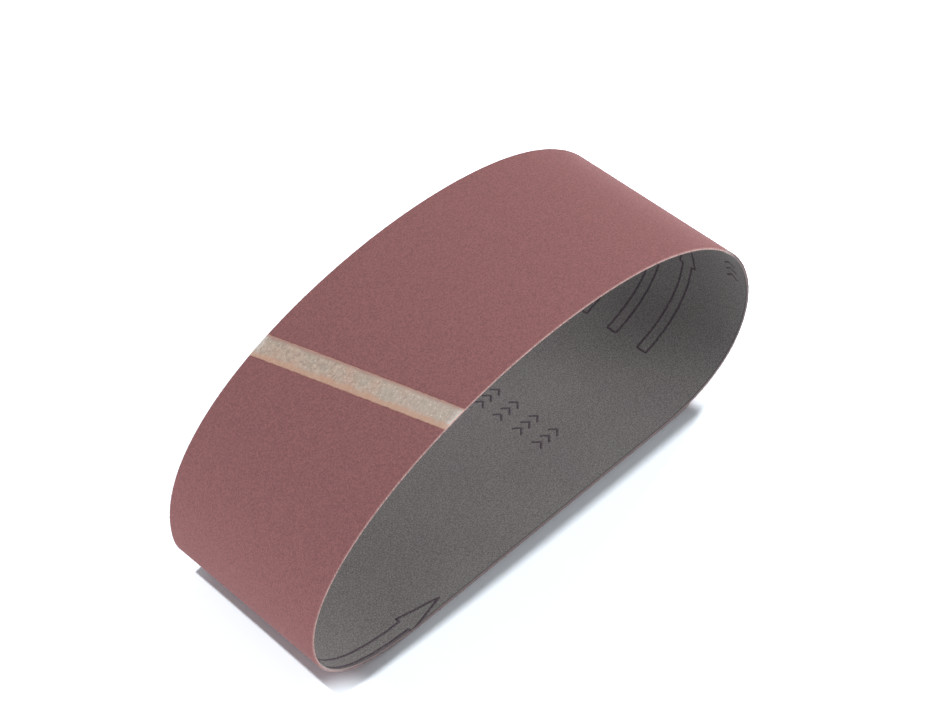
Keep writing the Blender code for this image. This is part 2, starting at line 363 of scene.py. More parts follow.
def new_material(name, roughness, specular=0.5):
    """Start a material; return it, its tree and the flat place on the strip."""
    material = bpy.data.materials.new(name)
    material.use_nodes = True
    tree = material.node_tree
    shader = tree.nodes["Principled BSDF"]
    shader.inputs["Roughness"].default_value = roughness
    shader.inputs["Specular IOR Level"].default_value = specular
    place = add_node(tree, "ShaderNodeAttribute", attribute_name="flat_place").outputs["Vector"]
    return material, tree, place


def layered(tree, colour, *layers):
    """Lay colours over a first one.

    A layer has its value, the levels where it starts and is full, its amount and its colour.
    """
    for value, start, full, amount, over in layers:
        first, second = (linear(c) if isinstance(c, str) else c for c in (colour, over))
        colour = add_node(tree, "ShaderNodeGroup",
                          {"Value": value, "From": start, "To": full, "Amount": amount,
                           "First": first, "Second": second}, node_tree=BLEND)
    return colour


def finished(material, colour, height, strength, depth):
    """Give a material its colour and its relief, and return it."""
    tree = material.node_tree
    relief = add_node(tree, "ShaderNodeBump",
                      {"Height": height, "Strength": strength, "Distance": depth})
    for source, target in ((colour, "Base Color"), (relief, "Normal")):
        tree.links.new(source.outputs[0], tree.nodes["Principled BSDF"].inputs[target])
    return material


BLEND = blending_tree()
GREY_AND_SHADE = grey_and_shade_tree()


def sized_cotton():
    """Cotton drill, woven, then filled with size and calendered: matt grey, with a faint weave."""
    material, tree, place = new_material("sized_cotton_drill", roughness=0.82, specular=0.3)
    # A noise's scale is in waves to the metre, so that 2000 makes specks of half a millimetre
    speckle = add_node(tree, "ShaderNodeTexNoise", {"Vector": place, "Scale": 2000.0, "Detail": 3.0})
    cloudy = add_node(tree, "ShaderNodeTexNoise", {"Vector": place, "Scale": 40.0, "Detail": 3.0})
    shade = layered(tree, "#5e5d5c", (speckle, 0.27, 0.73, 1.0, "#868483"))
    tint = layered(tree, "#fdf8fb", (cloudy, 0.35, 0.65, 1.0, "#fffffe"))
    colour = add_node(tree, "ShaderNodeMix", {"Factor": 1.0, "A": shade, "B": tint},
                      data_type="RGBA", blend_type="MULTIPLY").outputs[2]
    # Darker towards the corner of the cut: painted shade under the edge
    across = add_node(tree, "ShaderNodeSeparateXYZ", {0: place}).outputs["Y"]
    from_middle = add_node(tree, "ShaderNodeMath", {0: across}, operation="ABSOLUTE")
    colour = layered(tree, colour, (from_middle, BELT_WIDTH / 2 - 0.9 * MM,
                                    BELT_WIDTH / 2 - 0.2 * MM, 0.7, "#4a4546"))
    # Threads both ways; the spacing shows at about one and a half pixels
    waves = [add_node(tree, "ShaderNodeTexWave",
                      {"Vector": place, "Scale": math.pi / 10 / THREAD_SPACING, "Distortion": 0.3},
                      bands_direction=way) for way in "XY"]
    weave = add_node(tree, "ShaderNodeMath", {0: waves[0], 1: waves[1]}, operation="MAXIMUM")
    rough = add_node(tree, "ShaderNodeMath", {0: speckle, 1: 2.0}, operation="MULTIPLY")
    height = add_node(tree, "ShaderNodeMath", {0: weave, 1: rough}, operation="ADD")
    return finished(material, colour, height, strength=0.45, depth=0.06 * MM)


def raw_cotton():
    """Cut cotton, slit and never sealed: pale matt fibres, with a pink dust of grit in them."""
    material, tree, place = new_material("raw_cut_cotton", roughness=0.95, specular=0.2)
    tufts = add_node(tree, "ShaderNodeTexNoise", {"Vector": place, "Scale": 1800.0, "Detail": 4.0})
    colour = layered(tree, "#907574", (tufts, 0.3, 0.62, 1.0, "#bda3a0"))
    # The inner side of the cut is darker: painted shade
    parts = add_node(tree, "ShaderNodeSeparateXYZ", {0: place}).outputs
    colour = layered(tree, colour, (parts["Z"], -0.28 * MM, -0.5 * MM, 1.0, "#423d3e"))
    # Round the rear bend the cut has lost its pink dust, and where the belt lies it is darker:
    # painted shade
    greyed_and_shaded = add_node(tree, "ShaderNodeGroup", {"Run": parts["X"]}, node_tree=GREY_AND_SHADE)
    colour = layered(tree, colour, (greyed_and_shaded, 0.03, 0.25, 0.7, "#a59c9b"),
                     (greyed_and_shaded, 0.2, 1.0, 0.85, "#676263"))
    return finished(material, colour, tufts, strength=0.6, depth=0.1 * MM)


LAYER = layer_tree()
SIZED_COTTON = sized_cotton()
RAW_COTTON = raw_cotton()
cloth_backing = made_on_loop("cloth_backing", LAYER, {
    "Start": SEAM_RUN + SEAM_GAP / 2, "End": SEAM_RUN + LOOP_LENGTH - SEAM_GAP / 2,
    "Bottom": -BELT_THICKNESS / 2, "Top": -BELT_THICKNESS / 2 + CLOTH_THICKNESS,
    "Width": BELT_WIDTH, "Slant": SEAM_SLANT, "Step Along": 0.8 * MM, "Step Across": 3 * MM,
    "Corner": 0.1 * MM, "Ragged Ends": 0.1 * MM, "Ragged Edges": 0.12 * MM, "Relief": 0.0,
    "Seed": 3.0, "Outer Face": RAW_COTTON, "Inner Face": SIZED_COTTON, "Edges": RAW_COTTON})
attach(cloth_backing, "root")
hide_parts("abrasive_belt")

# The cut yarns along both long edges: the slitting knife leaves the end of every crosswise yarn
# as a small blunt tuft, and pulls a few single fibres out of it.
YARN_PITCH = 0.62 * MM         # the real one is 0.5, too close to show as separate ends
YARN_END_SIZES = (0.17 * MM, 0.27 * MM)
FIBRE_PITCH = 5 * MM
FIBRE_SIZES = (0.5 * MM, 1.5 * MM)
FIBRE_THICKNESS = 0.05         # share of its length; a real fibre is half as thick
FIBRE_SIDES = 3


def end_on_loop(tree, given, made):
    """End a tree: wrap its mesh round the loop and give it its material."""
    made = add_node(tree, "GeometryNodeRealizeInstances", {0: made})
    made = add_node(tree, "GeometryNodeGroup", {"Mesh": made, "Loop": given["Loop"]},
                    node_tree=WRAPPING)
    made = add_node(tree, "GeometryNodeSetMaterial",
                    {"Geometry": made, "Material": given["Finish"]})
    add_node(tree, "NodeGroupOutput", {"Mesh": made})


def scatter_tree(name, along_edges):
    """Many copies of a small thing, on the strip's face or along both of its long edges.

    A thing is drawn one metre big and points along -Y, which is outwards on the near edge.
    """
    tree, given = new_tree(
        name, Object=["Thing"], Vector=["Jitter", "Turn"], Int=["Seed"], Material=["Finish"],
        Float=["Start", "End", "Width", "Slant", "Height", "Spacing", "Smallest", "Largest"])
    length = add_node(tree, "ShaderNodeMath", {0: given["End"], 1: given["Start"]},
                      operation="SUBTRACT")
    if along_edges:
        count = add_node(tree, "ShaderNodeMath", {0: length, 1: given["Spacing"]},
                         operation="DIVIDE")
        step = add_node(tree, "ShaderNodeCombineXYZ", {"X": given["Spacing"]})
        lines = []
        for share in (-0.5, 0.5):
            edge = add_node(tree, "ShaderNodeMath", {0: given["Width"], 1: share},
                            operation="MULTIPLY")
            start = add_node(tree, "ShaderNodeCombineXYZ", {"X": given["Start"], "Y": edge})
            lines.append(add_node(tree, "GeometryNodeMeshLine",
                                  {"Count": count, "Start Location": start, "Offset": step}))
        points = add_node(tree, "GeometryNodeJoinGeometry", {0: lines})
    else:
        grid = add_node(tree, "GeometryNodeMeshGrid",
                        {"Size X": length, "Size Y": given["Width"], "Vertices X": 2,
                         "Vertices Y": 2}).outputs["Mesh"]
        middle = add_node(tree, "ShaderNodeCombineXYZ",
                          {"X": halfway(tree, given["Start"], given["End"])})
        grid = add_node(tree, "GeometryNodeSetPosition", {"Geometry": grid, "Offset": middle})
        density = add_node(tree, "ShaderNodeMath", {0: given["Spacing"], 1: -2.0},
                           operation="POWER")
        points = add_node(tree, "GeometryNodeDistributePointsOnFaces",
                          {"Mesh": grid, "Density": density, "Seed": given["Seed"]})
    place = add_node(tree, "GeometryNodeInputPosition")
    across = add_node(tree, "ShaderNodeSeparateXYZ", {0: place}).outputs["Y"]
    slant = set_back(tree, given["Slant"], across)
    slant = add_node(tree, "ShaderNodeMath", {0: slant, 1: -1.0}, operation="MULTIPLY")
    offset = add_node(tree, "ShaderNodeCombineXYZ", {"X": slant, "Z": given["Height"]})
    ranges = []
    for what in ("Jitter", "Turn"):
        least = add_node(tree, "ShaderNodeVectorMath", {"Vector": given[what], "Scale": -1.0},
                         operation="SCALE")
        ranges.append(add_node(tree, "FunctionNodeRandomValue",
                               {"Min": least, "Max": given[what], "Seed": given["Seed"]},
                               data_type="FLOAT_VECTOR"))
    offset = add_node(tree, "ShaderNodeVectorMath", {0: offset, 1: ranges[0]}, operation="ADD")
    points = add_node(tree, "GeometryNodeSetPosition", {0: points, "Offset": offset})
    far = add_node(tree, "ShaderNodeMath", {0: across, 1: 0.0}, operation="GREATER_THAN")
    about = add_node(tree, "ShaderNodeMath", {0: far, 1: math.pi if along_edges else 0.0},
                     operation="MULTIPLY")
    about = add_node(tree, "ShaderNodeCombineXYZ", {"Z": about})
    turn = add_node(tree, "ShaderNodeVectorMath", {0: ranges[1], 1: about}, operation="ADD")
    size = add_node(tree, "FunctionNodeRandomValue",
                    {"Min": given["Smallest"], "Max": given["Largest"], "Seed": given["Seed"]},
                    data_type="FLOAT")
    thing = add_node(tree, "GeometryNodeObjectInfo", {"Object": given["Thing"]}).outputs["Geometry"]
    copies = add_node(tree, "GeometryNodeInstanceOnPoints",
                      {"Points": points, "Instance": thing, "Rotation": turn, "Scale": size})
    end_on_loop(tree, given, copies)
    return tree


def thing_from(name, build):
    """Make the object that a scatter copies."""
    shape = bmesh.new()
    build(shape)
    mesh = bpy.data.meshes.new(name)
    shape.to_mesh(mesh)
    shape.free()
    return bpy.data.objects.new(name, mesh)


def blunt_end(shape):
    """The cut end of a yarn: a small round tuft, a little flattened."""
    bmesh.ops.create_icosphere(shape, subdivisions=1, radius=1.0)
    bmesh.ops.scale(shape, vec=(1.0, 0.55, 0.85), verts=shape.verts)


def bent_fibre(shape):
    """A single fibre, bent and thinner towards its tip, with its root inside the edge."""
    rings = []
    for t in (0.0, 0.25, 0.5, 0.75, 1.0):
        middle = Vector((0.35 * t * t, 0.25 - 1.25 * t, 0.2 * t - 0.3 * t * t))
        turns = (side * math.tau / FIBRE_SIDES for side in range(FIBRE_SIDES))
        rings.append([shape.verts.new(middle + FIBRE_THICKNESS * (1.0 - 0.6 * t)
                                      * Vector((math.sin(turn), 0.0, math.cos(turn))))
                      for turn in turns])
    for ring, after in zip(rings[:-1], rings[1:]):
        for i in range(FIBRE_SIDES):
            shape.faces.new((ring[i], ring[i - 1], after[i - 1], after[i]))
    shape.faces.new(rings[0])
    shape.faces.new(rings[-1][::-1])
    bmesh.ops.recalc_face_normals(shape, faces=shape.faces[:])


ALONG_EDGES = scatter_tree("scatter_along_edges", True)
yarn_ends = made_on_loop("cut_yarn_ends", ALONG_EDGES, {
    "Thing": thing_from("yarn_end", blunt_end), "Start": SEAM_RUN + 0.4 * MM,
    "End": SEAM_RUN + LOOP_LENGTH - 0.4 * MM, "Width": BELT_WIDTH - 0.1 * MM, "Slant": SEAM_SLANT,
    "Height": -0.16 * MM, "Spacing": YARN_PITCH, "Jitter": (0.12 * MM, 0.04 * MM, 0.09 * MM),
    "Turn": (0.4, 0.4, 0.4), "Smallest": YARN_END_SIZES[0], "Largest": YARN_END_SIZES[1],
    "Seed": 5, "Finish": RAW_COTTON})
loose_fibres = made_on_loop("loose_fibres", ALONG_EDGES, {
    "Thing": thing_from("fibre", bent_fibre), "Start": SEAM_RUN + 1 * MM,
    "End": SEAM_RUN + LOOP_LENGTH - 1 * MM, "Width": BELT_WIDTH - 0.1 * MM, "Slant": SEAM_SLANT,
    "Height": -0.2 * MM, "Spacing": FIBRE_PITCH, "Jitter": (2.4 * MM, 0.02 * MM, 0.15 * MM),
    "Turn": (0.5, 3.0, 1.1), "Smallest": FIBRE_SIZES[0], "Largest": FIBRE_SIZES[1],
    "Seed": 11, "Finish": RAW_COTTON})
for piece in (yarn_ends, loose_fibres):
    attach(piece, "root")

# The print on the inner side: long outlined arrows that give the way the belt runs, and rows of
# small chevrons, rolled on in thin dark ink before the cloth was slit.  The roll's pattern
# repeats on a slant, so the belt's edges and its splice cut through some of the marks.
INK_WIDTH = 0.9 * MM
INK_THICKNESS = 0.04 * MM
INK_STEP = 0.5 * MM
INK_WANDER = 0.35 * MM
REPEAT_STEPS = ((195.2 * MM, -56.8 * MM), (-113 * MM, -50.5 * MM))
REPEATS = range(-6, 7)         # more than enough to reach past the strip every way
ARROW_LENGTH = 59 * MM
ARROW_HEAD = 17 * MM
ARROW_HEAD_WIDTH = 7.8 * MM
ARROW_SHAFT_WIDTH = 4.4 * MM
ARROW_TIP = 113.5 * MM         # the run of one group's tips, and the places of its arrows across
ARROW_ROWS = (-8 * MM, 7.3 * MM, 22.6 * MM)
CHEVRON_START = 222.7 * MM
CHEVRON_ROWS = (-10 * MM, 0.1 * MM, 10.4 * MM, 20.2 * MM)
CHEVRON_COUNT = 3              # in each row
CHEVRON_PITCH = 4.4 * MM
CHEVRON_DEPTH = 2.6 * MM
CHEVRON_HEIGHT = 4.8 * MM


def arrow_outline(tip, middle):
    """An arrow that points back along the run."""
    half_head, half_shaft = ARROW_HEAD_WIDTH / 2, ARROW_SHAFT_WIDTH / 2
    side = [(0, 0), (ARROW_HEAD, half_head), (ARROW_HEAD, half_shaft), (ARROW_LENGTH, half_shaft)]
    return [(tip + x, middle + y) for x, y in side + [(x, -y) for x, y in side[:0:-1]]]


def chevron_line(tip, middle):
    """A chevron that points back along the run."""
    half = CHEVRON_HEIGHT / 2
    return [(tip + CHEVRON_DEPTH, middle + half), (tip, middle), (tip + CHEVRON_DEPTH, middle - half)]


def print_outlines():
    """All the marks of the roll's pattern that can touch the strip, as plain lines."""
    marks = [(arrow_outline(ARROW_TIP, row), True) for row in ARROW_ROWS]
    marks += [(chevron_line(CHEVRON_START + i * CHEVRON_PITCH, row), False)
              for row in CHEVRON_ROWS for i in range(CHEVRON_COUNT)]
    curve = bpy.data.curves.new("print_outlines", "CURVE")
    curve.dimensions = "3D"
    low, high = SEAM_RUN - ARROW_LENGTH, SEAM_RUN + LOOP_LENGTH + ARROW_LENGTH
    for i in REPEATS:
        for j in REPEATS:
            shift = [i * REPEAT_STEPS[0][k] + j * REPEAT_STEPS[1][k] for k in range(2)]
            for mark, closed in marks:
                places = [(x + shift[0], y + shift[1]) for x, y in mark]
                if (min(x for x, _ in places) > high or max(x for x, _ in places) < low
                        or min(abs(y) for _, y in places) > BELT_WIDTH / 2 + ARROW_HEAD_WIDTH):
                    continue
                spline = curve.splines.new("POLY")
                spline.points.add(len(places) - 1)
                spline.use_cyclic_u = closed
                for point, (x, y) in zip(spline.points, places):
                    point.co = (x, y, 0, 1)
    return bpy.data.objects.new("print_outlines", curve)


def print_tree():
    """Give each line its width of ink, a little uneven, and keep what lies on the slanted strip."""
    tree, given = new_tree(
        "printed_lines", Object=["Outlines"], Material=["Finish"],
        Float=["Line Width", "Line Thickness", "Step", "Wander", "Start", "End", "Width", "Slant",
               "Height"])
    lines = add_node(tree, "GeometryNodeObjectInfo",
                     {"Object": given["Outlines"]}).outputs["Geometry"]
    lines = add_node(tree, "GeometryNodeResampleCurve", {"Curve": lines, "Length": given["Step"]},
                     mode="LENGTH")
    place = add_node(tree, "GeometryNodeInputPosition")
    noise = add_node(tree, "ShaderNodeTexNoise", {"Vector": place, "Scale": 420.0, "Detail": 2.0})
    centred = add_node(tree, "ShaderNodeVectorMath",
                       {0: noise.outputs["Color"], 1: (0.5, 0.5, 0.5)}, operation="SUBTRACT")
    flat = add_node(tree, "ShaderNodeVectorMath", {0: centred, 1: (1.0, 1.0, 0.0)},
                    operation="MULTIPLY")
    shift = add_node(tree, "ShaderNodeVectorMath", {"Vector": flat, "Scale": given["Wander"]},
                     operation="SCALE")
    lines = add_node(tree, "GeometryNodeSetPosition", {"Geometry": lines, "Offset": shift})
    lines = add_node(tree, "GeometryNodeSetCurveNormal", {"Curve": lines}, mode="Z_UP")
    section = add_node(tree, "GeometryNodeCurvePrimitiveQuadrilateral",
                       {"Width": given["Line Width"], "Height": given["Line Thickness"]})
    ribbon = add_node(tree, "GeometryNodeCurveToMesh",
                      {"Curve": lines, "Profile Curve": section, "Fill Caps": True})
    length = add_node(tree, "ShaderNodeMath", {0: given["End"], 1: given["Start"]},
                      operation="SUBTRACT")
    size = add_node(tree, "ShaderNodeCombineXYZ", {"X": length, "Y": given["Width"], "Z": 2 * MM})
    area = add_node(tree, "GeometryNodeMeshCube", {"Size": size}).outputs["Mesh"]
    across = add_node(tree, "ShaderNodeSeparateXYZ", {0: place}).outputs["Y"]
    middle = halfway(tree, given["Start"], given["End"])
    slant = set_back(tree, given["Slant"], across)
    along = add_node(tree, "ShaderNodeMath", {0: middle, 1: slant}, operation="SUBTRACT")
    offset = add_node(tree, "ShaderNodeCombineXYZ", {"X": along})
    area = add_node(tree, "GeometryNodeSetPosition", {"Geometry": area, "Offset": offset})
    kept = add_node(tree, "GeometryNodeMeshBoolean", {0: [ribbon, area]}, operation="INTERSECT",
                    solver="EXACT").outputs["Mesh"]
    lift = add_node(tree, "ShaderNodeCombineXYZ", {"Z": given["Height"]})
    kept = add_node(tree, "GeometryNodeSetPosition", {"Geometry": kept, "Offset": lift})
    end_on_loop(tree, given, kept)
    return tree


def printing_ink():
    """Thin dark ink on sized cotton: matt, and broken where the threads stood too low for it."""
    material, tree, place = new_material("printing_ink_on_cotton", roughness=0.75, specular=0.3)
    breaks = add_node(tree, "ShaderNodeTexNoise", {"Vector": place, "Scale": 1500.0, "Detail": 3.0})
    colour = layered(tree, "#423940", (breaks, 0.42, 0.72, 1.0, "#625a60"))
    return finished(material, colour, breaks, strength=0.3, depth=0.05 * MM)


printed_marks = made_on_loop("printed_marks", print_tree(), {
    "Outlines": print_outlines(), "Line Width": INK_WIDTH, "Line Thickness": INK_THICKNESS,
    "Step": INK_STEP, "Wander": INK_WANDER, "Start": SEAM_RUN + SEAM_GAP, "Width": BELT_WIDTH,
    "End": SEAM_RUN + LOOP_LENGTH - SEAM_GAP, "Slant": SEAM_SLANT,
    "Height": -BELT_THICKNESS / 2, "Finish": printing_ink()})
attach(printed_marks, "root")

# The grit: aluminium oxide grains stood up in a coat of brown resin and sized over.  It covers
# the outside up to the splice, where it is ground off to make room for the tape.
GRIT_THICKNESS = BELT_THICKNESS - CLOTH_THICKNESS
GRIT_SINK = 0.05 * MM          # how far the coat soaks into the cloth
HALF_CHANNEL = 4.6 * MM / math.cos(SEAM_SLANT)
GRAIN_WIDTH = 0.35 * MM        # the real grains are about 0.2 mm, too fine to show


def grit_in_resin():
    """Aluminium oxide grains in brown resin: dull red-brown, matt, with a fine speckle."""
    material, tree, place = new_material("aluminium_oxide_in_resin", roughness=0.9, specular=0.3)
    grains = add_node(tree, "ShaderNodeTexVoronoi", {"Vector": place, "Scale": 1 / GRAIN_WIDTH})
    lightness = add_node(tree, "ShaderNodeSeparateColor", {0: grains.outputs["Color"]})
    dust = add_node(tree, "ShaderNodeTexNoise", {"Vector": place, "Scale": 1500.0, "Detail": 3.0})
    both = add_node(tree, "ShaderNodeMix", {"Factor": 0.5, "A": lightness.outputs[0], "B": dust})
    colour = layered(tree, "#82585a", (both, 0.16, 0.84, 1.0, "#9d6a69"))
    # Grains broken along the cut edges show the paler resin under them, and a little cotton
    # dust; they are greyer round the rear bend, and darker with painted shade where the belt lies
    parts = add_node(tree, "ShaderNodeSeparateXYZ", {0: place}).outputs
    greyed_and_shaded = add_node(tree, "ShaderNodeGroup", {"Run": parts["X"]}, node_tree=GREY_AND_SHADE)
    rim = layered(tree, "#9b7875", (greyed_and_shaded, 0.03, 0.25, 1.0, "#a59c9b"),
                  (greyed_and_shaded, 0.25, 1.0, 1.0, "#5d5757"))
    from_middle = add_node(tree, "ShaderNodeMath", {0: parts["Y"]}, operation="ABSOLUTE")
    reach = add_node(tree, "ShaderNodeMath", {0: dust, 1: 0.8 * MM, 2: from_middle},
                     operation="MULTIPLY_ADD")
    colour = layered(tree, colour, (reach, BELT_WIDTH / 2 + 0.15 * MM,
                                    BELT_WIDTH / 2 + 0.5 * MM, 0.9, rim))
    height = add_node(tree, "ShaderNodeMath", {0: lightness.outputs[1], 1: dust}, operation="ADD")
    return finished(material, colour, height, strength=0.5, depth=0.08 * MM)


GRIT = grit_in_resin()
grit_coat = made_on_loop("grit_coat", LAYER, {
    "Start": SEAM_RUN + HALF_CHANNEL, "End": SEAM_RUN + LOOP_LENGTH - HALF_CHANNEL,
    "Bottom": BELT_THICKNESS / 2 - GRIT_THICKNESS - GRIT_SINK, "Top": BELT_THICKNESS / 2,
    "Width": BELT_WIDTH, "Slant": SEAM_SLANT, "Step Along": 0.8 * MM, "Step Across": 3 * MM,
    "Corner": 0.12 * MM, "Ragged Ends": 0.5 * MM, "Ragged Edges": 0.1 * MM, "Relief": 0.03 * MM,
    "Seed": 8.0, "Outer Face": GRIT, "Inner Face": GRIT, "Edges": GRIT})
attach(grit_coat, "root")
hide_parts("abrasive_belt")

# Grains that stand proud: a coat like this has a taller, sharper grain here and there, and more
# of them hang loose as crumbs along the cut edges.
PROUD_GRAIN_SPACING = 1.3 * MM
PROUD_GRAIN_SIZES = (0.12 * MM, 0.26 * MM)
CRUMB_PITCH = 0.45 * MM
CRUMB_SIZES = (0.1 * MM, 0.2 * MM)


def sharp_grain(shape):
    """A grain with a square foot and a pointed top."""
    bmesh.ops.create_cone(shape, cap_ends=True, segments=4, radius1=1.0, radius2=0.0, depth=1.4)


SHARP_GRAIN = thing_from("sharp_grain", sharp_grain)
proud_grains = made_on_loop("proud_grains", scatter_tree("scatter_on_face", False), {
    "Thing": SHARP_GRAIN, "Start": SEAM_RUN + HALF_CHANNEL + 0.5 * MM,
    "End": SEAM_RUN + LOOP_LENGTH - HALF_CHANNEL - 0.5 * MM, "Width": BELT_WIDTH - 0.8 * MM,
    "Slant": SEAM_SLANT, "Height": BELT_THICKNESS / 2 - 0.04 * MM, "Spacing": PROUD_GRAIN_SPACING,
    "Turn": (0.5, 0.5, math.pi), "Smallest": PROUD_GRAIN_SIZES[0],
    "Largest": PROUD_GRAIN_SIZES[1], "Seed": 17, "Finish": GRIT})
edge_crumbs = made_on_loop("edge_crumbs", ALONG_EDGES, {
    "Thing": SHARP_GRAIN, "Start": SEAM_RUN + HALF_CHANNEL + 0.5 * MM,
    "End": SEAM_RUN + LOOP_LENGTH - HALF_CHANNEL - 0.5 * MM, "Width": BELT_WIDTH - 0.2 * MM,
    "Slant": SEAM_SLANT, "Height": BELT_THICKNESS / 2 - 0.24 * MM, "Spacing": CRUMB_PITCH,
    "Jitter": (0.2 * MM, 0.05 * MM, 0.2 * MM), "Turn": (3.0, 3.0, 3.0),
    "Smallest": CRUMB_SIZES[0], "Largest": CRUMB_SIZES[1], "Seed": 23, "Finish": GRIT})
for piece in (proud_grains, edge_crumbs):
    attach(piece, "root")

# The splice: a thin tape in the ground channel over the butted ends, set in adhesive that
# shows as a warm rim along the tape's lower edge.
TAPE_WIDTH = 8.6 * MM
TAPE_THICKNESS = 0.25 * MM
HALF_TAPE = TAPE_WIDTH / 2 / math.cos(SEAM_SLANT)
ADHESIVE_RIM = 1.7 * MM        # where the adhesive shows through along the tape's lower edge
FRAYED_RIM = 0.9 * MM          # where the tape's upper edge is uneven and stained
ADHESIVE_DROP = 0.05 * MM      # how far the adhesive lies below the tape's face


def distance_across_tape(tree, place):
    """How far a place is from the middle of the tape, square to it and towards the crown."""
    parts = add_node(tree, "ShaderNodeSeparateXYZ", {0: place}).outputs
    slanted = add_node(tree, "ShaderNodeMath",
                       {0: parts["Y"], 1: math.tan(SEAM_SLANT), 2: parts["X"]},
                       operation="MULTIPLY_ADD")
    from_seam = add_node(tree, "ShaderNodeMath", {0: slanted, 1: SEAM_RUN}, operation="SUBTRACT")
    return add_node(tree, "ShaderNodeMath", {0: from_seam, 1: math.cos(SEAM_SLANT)},
                    operation="MULTIPLY")


def splice_tape_film():
    """Thin fibrous tape, pressed hot into its adhesive: mottled cream and grey, half matt."""
    material, tree, place = new_material("pressed_splice_tape", roughness=0.65)
    # Fibres lie across the tape, so the pattern is drawn out that way
    drawn_out = add_node(tree, "ShaderNodeMapping",
                         {"Vector": place, "Rotation": (0.0, 0.0, -SEAM_SLANT),
                          "Scale": (0.6, 1.0, 1.0)})
    mottle = add_node(tree, "ShaderNodeTexNoise",
                      {"Vector": drawn_out, "Scale": 1100.0, "Detail": 5.0, "Roughness": 0.6})
    patches = add_node(tree, "ShaderNodeTexNoise", {"Vector": place, "Scale": 190.0, "Detail": 3.0})
    flecks = add_node(tree, "ShaderNodeTexNoise",
                      {"Vector": drawn_out, "Scale": 2200.0, "Detail": 2.0})
    colour = layered(tree, "#a28e82", (mottle, 0.26, 0.7, 1.0, "#c6b2a1"),
                     (patches, 0.5, 0.68, 0.4, "#a9a294"), (patches, 0.5, 0.32, 0.35, "#c29a86"))
    # The bare fibres show paler towards the near edge, where the tape was pressed harder
    across = add_node(tree, "ShaderNodeSeparateXYZ", {0: place}).outputs["Y"]
    colour = layered(tree, colour, (across, 10 * MM, -30 * MM, 0.4, "#bdb4aa"),
                     (flecks, 0.58, 0.74, 0.6, "#ebe1d5"))
    # Both cut ends are frayed and pale
    from_middle = add_node(tree, "ShaderNodeMath", {0: across}, operation="ABSOLUTE")
    frayed = add_node(tree, "ShaderNodeMath", {0: mottle, 1: 4 * MM, 2: from_middle},
                      operation="MULTIPLY_ADD")
    colour = layered(tree, colour, (frayed, BELT_WIDTH / 2 - 0.6 * MM,
                                    BELT_WIDTH / 2 + 2.2 * MM, 0.75, "#dcd6cf"))
    # The lower rim is warm with adhesive, and the upper one stained with grit
    away = distance_across_tape(tree, place)
    uneven = add_node(tree, "ShaderNodeMath", {0: patches, 1: mottle}, operation="ADD")
    uneven = add_node(tree, "ShaderNodeMath", {0: uneven, 1: 1.8 * MM, 2: -1.8 * MM},
                      operation="MULTIPLY_ADD")
    away = add_node(tree, "ShaderNodeMath", {0: away, 1: uneven}, operation="ADD")
    lower, upper = ADHESIVE_RIM - TAPE_WIDTH / 2, TAPE_WIDTH / 2
    colour = layered(tree, colour, (away, lower + 0.8 * MM, lower - 0.7 * MM, 0.65, "#c79b82"),
                     (away, upper - FRAYED_RIM - 0.5 * MM, upper - 0.1 * MM, 0.7, "#a98078"))
    height = add_node(tree, "ShaderNodeMath", {0: mottle, 1: flecks}, operation="ADD")
    return finished(material, colour, height, strength=0.4, depth=0.12 * MM)


def cured_adhesive():
    """Hot-cured adhesive: warm orange-cream and half glossy."""
    material, tree, place = new_material("cured_splice_adhesive", roughness=0.5)
    cloudy = add_node(tree, "ShaderNodeTexNoise", {"Vector": place, "Scale": 500.0, "Detail": 2.0})
    colour = layered(tree, "#a07069", (cloudy, 0.3, 0.7, 1.0, "#c39581"))
    return finished(material, colour, cloudy, strength=0.4, depth=0.1 * MM)


TAPE_FILM = splice_tape_film()
ADHESIVE = cured_adhesive()
splice_tape_piece = made_on_loop("splice_tape_strip", LAYER, {
    "Start": SEAM_RUN - HALF_TAPE, "End": SEAM_RUN + HALF_TAPE,
    "Bottom": BELT_THICKNESS / 2 - TAPE_THICKNESS, "Top": BELT_THICKNESS / 2,
    "Width": BELT_WIDTH, "Slant": SEAM_SLANT, "Step Along": 0.3 * MM, "Step Across": 0.4 * MM,
    "Corner": 0.05 * MM, "Ragged Ends": 0.5 * MM, "Ragged Edges": 0.1 * MM, "Relief": 0.06 * MM,
    "Seed": 14.0, "Outer Face": TAPE_FILM, "Inner Face": TAPE_FILM, "Edges": TAPE_FILM})
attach(splice_tape_piece, "root")
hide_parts("splice_tape")
splice_adhesive = made_on_loop("splice_adhesive", LAYER, {
    "Start": SEAM_RUN - HALF_CHANNEL, "End": SEAM_RUN + HALF_CHANNEL,
    "Bottom": BELT_THICKNESS / 2 - GRIT_THICKNESS - GRIT_SINK,
    "Top": BELT_THICKNESS / 2 - ADHESIVE_DROP,
    "Width": BELT_WIDTH, "Slant": SEAM_SLANT, "Step Along": 0.5 * MM, "Step Across": 0.6 * MM,
    "Corner": 0.05 * MM, "Ragged Ends": 0.0, "Ragged Edges": 0.1 * MM, "Relief": 0.03 * MM,
    "Seed": 21.0, "Outer Face": ADHESIVE, "Inner Face": ADHESIVE, "Edges": ADHESIVE})
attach(splice_adhesive, "root")

# The studio: a pale paper floor that runs out of sight under even light.  The floor has lamps of
# its own, as a backdrop does: they draw the belt's shadow close under it.  Broad lamps to the
# left, to the right and in front light the belt alone.
FLOOR_DROP = 0.05 * MM         # a hair under the belt
FLOOR_REACH = 4.0
PAPER_COLOUR = (0.8, 0.8, 0.8, 1.0)
PAPER_AS_SEEN = (0.96, 1.03, 1.1, 1.0)         # a cool white, where the camera sees it
ALL_ROUND_LEVEL = 0.4          # the level at which a white surface shows white is 1
BACKDROP_LEVEL = 0.72
BACKDROP_LAMP_FROM = (-0.22, 0.06, 1.0)
BACKDROP_LAMP_ANGLE = math.radians(2.5)
